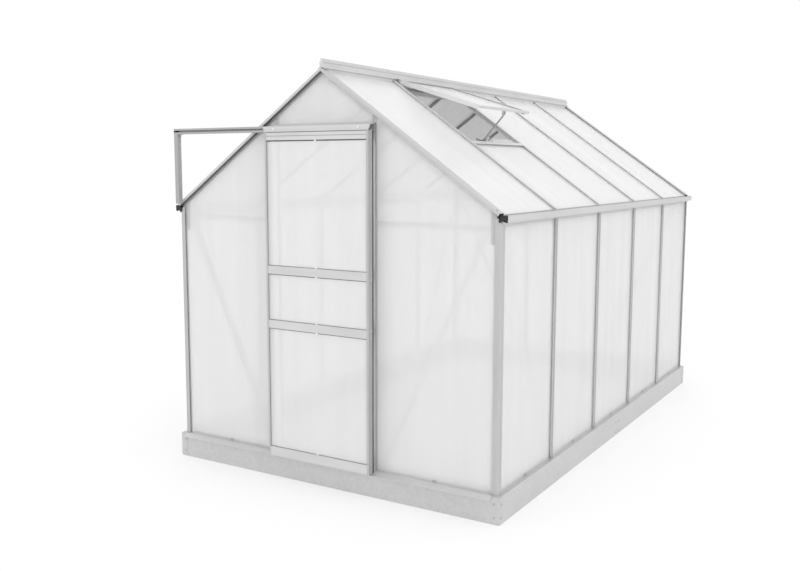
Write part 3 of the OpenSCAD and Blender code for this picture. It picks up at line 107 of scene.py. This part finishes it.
class Nodes:
    """Builds the node tree of a material or of the world."""

    def __init__(self, owner, output="ShaderNodeOutputMaterial"):
        owner.use_nodes = True
        self.owner = owner
        self.tree = owner.node_tree
        self.tree.nodes.clear()
        self.output = self.add(output)

    def add(self, kind, **settings):
        node = self.tree.nodes.new(kind)
        for key, value in settings.items():
            setattr(node, key, value)
        return node

    def feed(self, value, socket):
        """Sets a socket to a number, or links another node's output to it."""
        if isinstance(value, (int, float)):
            socket.default_value = value
        else:
            self.tree.links.new(value, socket)

    def finished(self, surface):
        self.feed(surface, self.output.inputs["Surface"])
        return self.owner

    def moved(self, vector, **settings):
        """A vector that is turned or scaled by the mapping's inputs."""
        mapping = self.add("ShaderNodeMapping", vector_type="POINT")
        for key, value in settings.items():
            mapping.inputs[key].default_value = value
        self.feed(vector, mapping.inputs["Vector"])
        return mapping.outputs["Vector"]

    def position(self, turn=ACROSS):
        """Place in the part's frame, turned so that its first axis lies along the piece."""
        coords = self.add("ShaderNodeTexCoord")
        return self.moved(coords.outputs["Object"], Rotation=turn)

    def split(self, vector):
        node = self.add("ShaderNodeSeparateXYZ")
        self.feed(vector, node.inputs["Vector"])
        return node.outputs

    def noise(self, vector, scale, detail, roughness):
        node = self.add("ShaderNodeTexNoise")
        node.inputs["Scale"].default_value = scale
        node.inputs["Detail"].default_value = detail
        node.inputs["Roughness"].default_value = roughness
        self.feed(vector, node.inputs["Vector"])
        return node.outputs["Fac"]

    def span(self, value, low, high, to_low, to_high):
        """A value's place between low and high, carried over to another span."""
        node = self.add("ShaderNodeMapRange")
        numbers = {"From Min": low, "From Max": high, "To Min": to_low, "To Max": to_high}
        for key, number in numbers.items():
            node.inputs[key].default_value = number
        self.feed(value, node.inputs["Value"])
        return node.outputs["Result"]

    def spread(self, noise, to_low, to_high):
        """Most of a noise's values, spread over a span."""
        return self.span(noise, NOISE_LOW, NOISE_HIGH, to_low, to_high)

    def math(self, operation, *values):
        node = self.add("ShaderNodeMath", operation=operation)
        for value, socket in zip(values, node.inputs):
            self.feed(value, socket)
        return node.outputs["Value"]

    def ramp(self, value, colour_low, colour_high, low=NOISE_LOW, high=NOISE_HIGH):
        node = self.add("ShaderNodeValToRGB")
        ends = node.color_ramp.elements
        ends[0].position, ends[0].color = low, colour_low
        ends[1].position, ends[1].color = high, colour_high
        self.feed(value, node.inputs["Fac"])
        return node.outputs["Color"]

    def grey(self, value, level, darker=6, lighter=5, low=NOISE_LOW, high=NOISE_HIGH):
        """A grey that wanders a little round its level."""
        dark, light = level - darker, level + lighter
        return self.ramp(value, colour(dark, dark, dark), colour(light, light, light), low, high)

    def mixed(self, share, first, second):
        mix = self.add("ShaderNodeMixRGB")
        self.feed(share, mix.inputs["Fac"])
        self.feed(first, mix.inputs["Color1"])
        self.feed(second, mix.inputs["Color2"])
        return mix.outputs["Color"]

    def turned(self, direction):
        """1 on faces that look along a direction and 0 on the others. X, Y and Z count both ways,
        and down is the underside."""
        coords = self.add("ShaderNodeTexCoord")
        normal = self.split(coords.outputs["Normal"])
        if direction == "down":
            return self.span(normal["Z"], *UNDERSIDE, 1.0, 0.0)
        return self.span(self.math("ABSOLUTE", normal[direction]), *FACING, 0.0, 1.0)

    def faces(self, tone, value, direction, painted_side_level):
        """The tone, or the side level on faces that look along the direction: painted light or
        painted shade on those sides.
        """
        if direction is None:
            return tone
        return self.mixed(self.turned(direction), tone, self.grey(value, painted_side_level))

    def band(self, value, low, high):
        """1 between low and high, fading to 0 beyond each end."""
        rise = self.span(value, low - SHADE_BAND_FADE, low, 0.0, 1.0)
        fall = self.span(value, high, high + SHADE_BAND_FADE, 1.0, 0.0)
        return self.math("MULTIPLY", rise, fall)

    def shaded(self, tone, value, shade_bands):
        """The tone, darkened by painted shade in each of the shade bands."""
        for direction, axis, low, high, level in shade_bands:
            inside = self.band(self.split(self.position())[axis], low, high)
            share = self.math("MULTIPLY", inside, self.turned(direction))
            tone = self.mixed(share, tone, self.grey(value, level))
        return tone

    def bump(self, height, strength, distance):
        node = self.add("ShaderNodeBump")
        node.inputs["Strength"].default_value = strength
        node.inputs["Distance"].default_value = distance
        self.feed(height, node.inputs["Height"])
        return node.outputs["Normal"]

    def principled(self, tone, roughness, normal, **values):
        shader = self.add("ShaderNodeBsdfPrincipled")
        for key, value in values.items():
            shader.inputs[key].default_value = value
        self.feed(tone, shader.inputs["Base Color"])
        self.feed(roughness, shader.inputs["Roughness"])
        self.feed(normal, shader.inputs["Normal"])
        return shader.outputs["BSDF"]

    def plain(self, kind, grey, **values):
        """A shader of one linear grey."""
        shader = self.add(kind)
        shader.inputs["Color"].default_value = (grey, grey, grey, 1.0)
        for key, value in values.items():
            shader.inputs[key].default_value = value
        return shader.outputs[0]

    def blended(self, share, first, second):
        """The first shader, with a share of the second."""
        mix = self.add("ShaderNodeMixShader")
        self.feed(share, mix.inputs["Fac"])
        self.feed(first, mix.inputs[1])
        self.feed(second, mix.inputs[2])
        return mix.outputs["Shader"]

    def seen_directly(self):
        """1 for rays from the camera, reflections and clear materials, and 0 for rays that only
        carry light."""
        path = self.add("ShaderNodeLightPath")
        some = self.math("MAXIMUM", path.outputs["Is Camera Ray"], path.outputs["Is Glossy Ray"])
        return self.math("MAXIMUM", some, path.outputs["Is Transmission Ray"])


def new_material(name):
    return Nodes(bpy.data.materials.new(name))


def aluminium(name, level, turn, direction=None, painted_side_level=None, shade_bands=()):
    """Mill-finish extrusion: fine draw lines along its length, and a faint dull bloom.
    The faces that look along the direction take the side level, painted light or painted shade on
    those sides, and each shade band is a band of painted shade."""
    n = new_material(name)
    place = n.position(turn)
    lines = n.noise(n.moved(place, Scale=DRAW_LINES), scale=620.0, detail=2.0, roughness=0.6)
    bloom = n.noise(n.moved(place, Scale=BLOOM), scale=14.0, detail=4.0, roughness=0.6)
    tone = n.faces(n.grey(bloom, level), bloom, direction, painted_side_level)
    rough = n.math("ADD", n.spread(lines, 0.36, 0.5), n.spread(bloom, 0.0, 0.06))
    relief = n.bump(lines, strength=0.15, distance=0.0002)
    return n.finished(n.principled(n.shaded(tone, bloom, shade_bands), rough, relief, Metallic=0.45))


def galvanised(name, level):
    """Galvanised and lacquered sheet: soft spangles of zinc and a faint orange peel."""
    n = new_material(name)
    place = n.position()
    cells = n.add("ShaderNodeTexVoronoi", feature="F1")
    cells.inputs["Scale"].default_value = 70.0
    n.feed(place, cells.inputs["Vector"])
    spangle = n.add("ShaderNodeRGBToBW")
    n.feed(cells.outputs["Color"], spangle.inputs["Color"])
    cloud = n.noise(place, scale=6.0, detail=4.0, roughness=0.6)
    spangle_share = 0.35
    zinc = n.math("ADD", n.math("MULTIPLY", spangle.outputs["Val"], spangle_share),
                  n.math("MULTIPLY", cloud, 1.0 - spangle_share))
    low, high = 0.25, 0.75
    tone = n.grey(zinc, level, darker=8, lighter=6, low=low, high=high)
    rough = n.span(zinc, low, high, 0.36, 0.5)
    peel = n.noise(place, scale=260.0, detail=2.0, roughness=0.5)
    relief = n.bump(peel, strength=0.12, distance=0.0003)
    return n.finished(n.principled(tone, rough, relief, Metallic=0.55))


def bright_steel(name, level):
    """Zinc-plated steel of bolts, screws, clips and the stay: mottled and a little warm."""
    n = new_material(name)
    mottle = n.noise(n.position(), scale=420.0, detail=3.0, roughness=0.6)
    dark, light = level - 14, level + 8
    tone = n.ramp(mottle, colour(dark, dark, dark - 4), colour(light, light, light - 2))
    relief = n.bump(mottle, strength=0.1, distance=0.0001)
    return n.finished(n.principled(tone, n.spread(mottle, 0.2, 0.34), relief, Metallic=1.0))


def black_plastic(name):
    """Moulded black plastic with a fine spark-eroded grain."""
    n = new_material(name)
    place = n.position()
    grain = n.noise(place, scale=1500.0, detail=2.0, roughness=0.6)
    shade = n.noise(place, scale=60.0, detail=3.0, roughness=0.5)
    tone = n.ramp(shade, colour(30, 30, 32), colour(46, 46, 48))
    relief = n.bump(grain, strength=0.3, distance=0.0001)
    return n.finished(n.principled(tone, n.spread(grain, 0.42, 0.6), relief))


def twin_wall(name, turn, level, share_clear, share_glow, shade_bands=()):
    """Frosted twin-wall sheet. Its inner ribs stand a flute apart along the turned frame's second
    axis; it is cloudy where a rib joins the skins and a little clear between them."""
    n = new_material(name)
    place = n.position(turn)
    wave = n.math("SINE", n.math("MULTIPLY", n.split(place)["Y"], 2 * math.pi / FLUTE))
    rib = n.span(wave, *RIB, 0.0, 1.0)
    drift = n.noise(n.moved(place, Scale=DRIFT), scale=4.0, detail=3.0, roughness=0.5)
    tone = n.shaded(n.grey(drift, level, darker=2, lighter=1), drift, shade_bands)
    relief = n.bump(wave, strength=0.04, distance=0.0004)
    skin = n.principled(tone, n.spread(drift, 0.16, 0.24), relief, IOR=1.49)
    glow = n.plain("ShaderNodeBsdfTranslucent", srgb(level))
    clear = n.plain("ShaderNodeBsdfTransparent", CLEAR_TINT)
    cloud = n.math("ADD", n.span(rib, 0.0, 1.0, 1.0 - share_clear, 1.0 - RIB_PASS * share_clear),
                   n.spread(drift, -CLOUD_WANDER, CLOUD_WANDER))
    return n.finished(n.blended(cloud, clear, n.blended(share_glow, skin, glow)))


def door_sheet_shade_bands():
    """The painted shade at the bottom and at the top of each of the door's sheets, next to its
    rails and header.
    """
    shade_bands = []
    for bottom, top, shade, level in DOOR_SHEETS:
        shade_bands.append(("Y", "Z", bottom, bottom + LOW_SHADE, LOW_LEVEL))
        shade_bands.append(("Y", "Z", top - shade, top, level))
    return shade_bands


def dress(material, *names):
    for name in names:
        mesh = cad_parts[name].data
        mesh.materials.clear()
        mesh.materials.append(material)


def dress_cad():
    """Gives each CAD node its material. The number after a material's name is its grey level from
    0 to 255; a letter or word and a second number are the way its sides look, and the level of the
    painted light or shade on those sides."""
    dress(galvanised("galvanised_sheet", 204),
          "base_front", "base_back", "base_right_front", "base_right_rear",
          "base_left_front", "base_left_rear", "base_corner_plates")

    # The aluminium groups are one mill finish. Their different grey levels, such as those of the
    # right and left slopes' bars and rafters, are painted light and shade for how light falls on
    # each group.
    dress(aluminium("aluminium_posts", 190, UPRIGHT),
          "corner_post_front_right", "corner_post_front_left",
          "corner_post_back_right", "corner_post_back_left")
    # Painted light: the bars' sides are lighter than their caps.
    dress(aluminium("aluminium_bars", 168, UPRIGHT, "Y", 244), "wall_bars_right", "wall_bars_left")
    dress(aluminium("aluminium_strut", 176, UPRIGHT), "track_strut")
    # Painted shade: the stiles' sides are darker than their fronts. Painted light on the jambs'
    # fronts and painted shade on their sides.
    dress(aluminium("aluminium_stiles", 188, UPRIGHT, "X", 184, STILE_SHADE_BANDS), "door_stiles")
    dress(aluminium("aluminium_jambs", 236, UPRIGHT, "X", 96), "door_jambs")
    dress(aluminium("aluminium_braces", 200, UPRIGHT),
          "back_posts", "wall_braces", "gable_braces", "eave_brackets")
    dress(aluminium("aluminium_gutters", 205, LENGTHWISE), "gutter_right", "gutter_left")
    dress(aluminium("aluminium_lengthwise", 212, LENGTHWISE),
          "side_sill_right", "side_sill_left", "ridge_beam", "vent_head_rail", "vent_bottom_rail")
    dress(aluminium("aluminium_transom", 224, LENGTHWISE), "vent_transom")
    dress(aluminium("aluminium_across", 210, ACROSS),
          "sill_front", "sill_back", "gable_crossbars", "header_beam", "door_rails")
    dress(aluminium("aluminium_header", 212, ACROSS, shade_bands=HEADER_SHADE_BANDS), "door_header")
    dress(aluminium("aluminium_track", 178, ACROSS), "door_track")
    # Painted shade: the rafters' undersides are darker than their fronts.
    dress(aluminium("aluminium_right_rafters", 200, RIGHT_SLOPE, "down", 110),
          "rafter_front_right", "rafter_back_right")
    dress(aluminium("aluminium_left_rafters", 206, LEFT_SLOPE, "down", 110),
          "rafter_front_left", "rafter_back_left")
    # Painted light and shade: the right slope's bars are lighter than the left slope's, and their
    # sides lighter than their caps.
    dress(aluminium("aluminium_right_slope", 216, RIGHT_SLOPE, "Y", 240), "roof_bars_right")
    dress(aluminium("aluminium_left_slope", 168, LEFT_SLOPE, "Y", 180), "roof_bars_left")
    dress(aluminium("aluminium_vent", 226, VENT_SLOPE), "vent_side_rails")

    dress(black_plastic("black_plastic"), "end_caps", "track_stops", "wheel_left", "wheel_right")
    # The three steels are one zinc plating: the lighter copy on the door's screws and clips is
    # painted light, and the darker copy on the stay is painted shade.
    dress(bright_steel("zinc_plated_steel", 200), "base_bolts", "frame_bolts", "panel_clips")
    dress(bright_steel("zinc_plated_steel_painted_light", 240), "door_screws", "door_clips")
    dress(bright_steel("stay_steel", 156), "vent_stay")

    dress(twin_wall("sheet_side_walls", UPRIGHT, **WALL_SHEET),
          "wall_panels_right", "wall_panels_left")
    dress(twin_wall("sheet_gables", UPRIGHT_GABLE, **WALL_SHEET),
          "gable_panels_front", "gable_panels_back")
    # Painted shade in bands along the rails and header on the door's sheets
    dress(twin_wall("sheet_door", UPRIGHT_GABLE, shade_bands=door_sheet_shade_bands(), **WALL_SHEET),
          "door_panels")
    dress(twin_wall("sheet_right_slope", RIGHT_SLOPE, **ROOF_SHEET), "roof_panels_right")
    dress(twin_wall("sheet_left_slope", LEFT_SLOPE, **ROOF_SHEET), "roof_panels_left")
    dress(twin_wall("sheet_vent", VENT_SLOPE, **ROOF_SHEET), "vent_panel")


def placed(name, data):
    """A new object in the scene."""
    obj = bpy.data.objects.new(name, data)
    bpy.context.scene.collection.objects.link(obj)
    return obj


def camera():
    """The camera at the photograph's place, with its lens and its slight shift."""
    place = Vector((2.5650, -5.0888, 1.5674))
    yaw, pitch, roll = math.radians(31.57), math.radians(7.016), math.radians(0.09)
    focal_px = 910.72
    centre_px = (394.1, 278.5)
    ahead = Vector((-math.sin(yaw) * math.cos(pitch), math.cos(yaw) * math.cos(pitch),
                    -math.sin(pitch)))
    level = Vector((math.cos(yaw), math.sin(yaw), 0.0))
    above = level.cross(ahead)
    right = math.cos(roll) * level + math.sin(roll) * above
    upward = -math.sin(roll) * level + math.cos(roll) * above
    data = bpy.data.cameras.new("camera")
    data.sensor_fit = "HORIZONTAL"
    data.sensor_width = SENSOR
    data.lens = focal_px * SENSOR / IMAGE_W
    data.shift_x = (IMAGE_W / 2 - centre_px[0]) / IMAGE_W
    data.shift_y = (centre_px[1] - IMAGE_H / 2) / IMAGE_W
    data.clip_end = 200.0
    obj = placed("camera", data)
    turn = Matrix((right, upward, -ahead)).transposed().to_4x4()
    obj.matrix_world = Matrix.Translation(place) @ turn
    bpy.context.scene.camera = obj


def floor():
    """A pale floor that looks white to the eye and keeps the object's shadow. Its own white stays
    outside the footprint, so the shadow inside the house shows in full."""
    corners = [(x * FLOOR_HALF, y * FLOOR_HALF, -FLOOR_DROP)
               for x, y in ((-1, -1), (1, -1), (1, 1), (-1, 1))]
    mesh = bpy.data.meshes.new("floor")
    mesh.from_pydata(corners, [], [(0, 1, 2, 3)])
    obj = placed("floor", mesh)
    n = new_material("floor")
    matt = n.plain("ShaderNodeBsdfDiffuse", FLOOR_MATT)
    white = n.plain("ShaderNodeEmission", 1.0)
    place = n.split(n.position())
    outside = n.math("MAXIMUM",
                     n.span(n.math("ABSOLUTE", place["X"]), *WHITE_ACROSS, 0.0, 1.0),
                     n.span(n.math("ABSOLUTE", place["Y"]), *WHITE_ALONG, 0.0, 1.0))
    seen = n.math("MULTIPLY", n.seen_directly(), outside)
    share = n.math("MULTIPLY", seen, FLOOR_WHITE)
    mesh.materials.append(n.finished(n.blended(share, matt, white)))


def studio():
    """A white room: even light from all sides, and a soft lamp from above on the right."""
    world = bpy.data.worlds.new("studio")
    bpy.context.scene.world = world
    n = Nodes(world, "ShaderNodeOutputWorld")
    light = n.plain("ShaderNodeBackground", 1.0, Strength=ROOM_LIGHT)
    white = n.plain("ShaderNodeBackground", 1.0, Strength=ROOM_SEEN)
    n.finished(n.blended(n.seen_directly(), light, white))

    lamp = bpy.data.lights.new("soft_lamp", "SUN")
    lamp.energy = LAMP_ENERGY
    lamp.angle = LAMP_ANGLE
    obj = placed("soft_lamp", lamp)
    obj.rotation_euler = Vector(LAMP_DIRECTION).to_track_quat("-Z", "Y").to_euler()


camera()
studio()
floor()
dress_cad()

bpy.context.scene.view_settings.view_transform = "Standard"
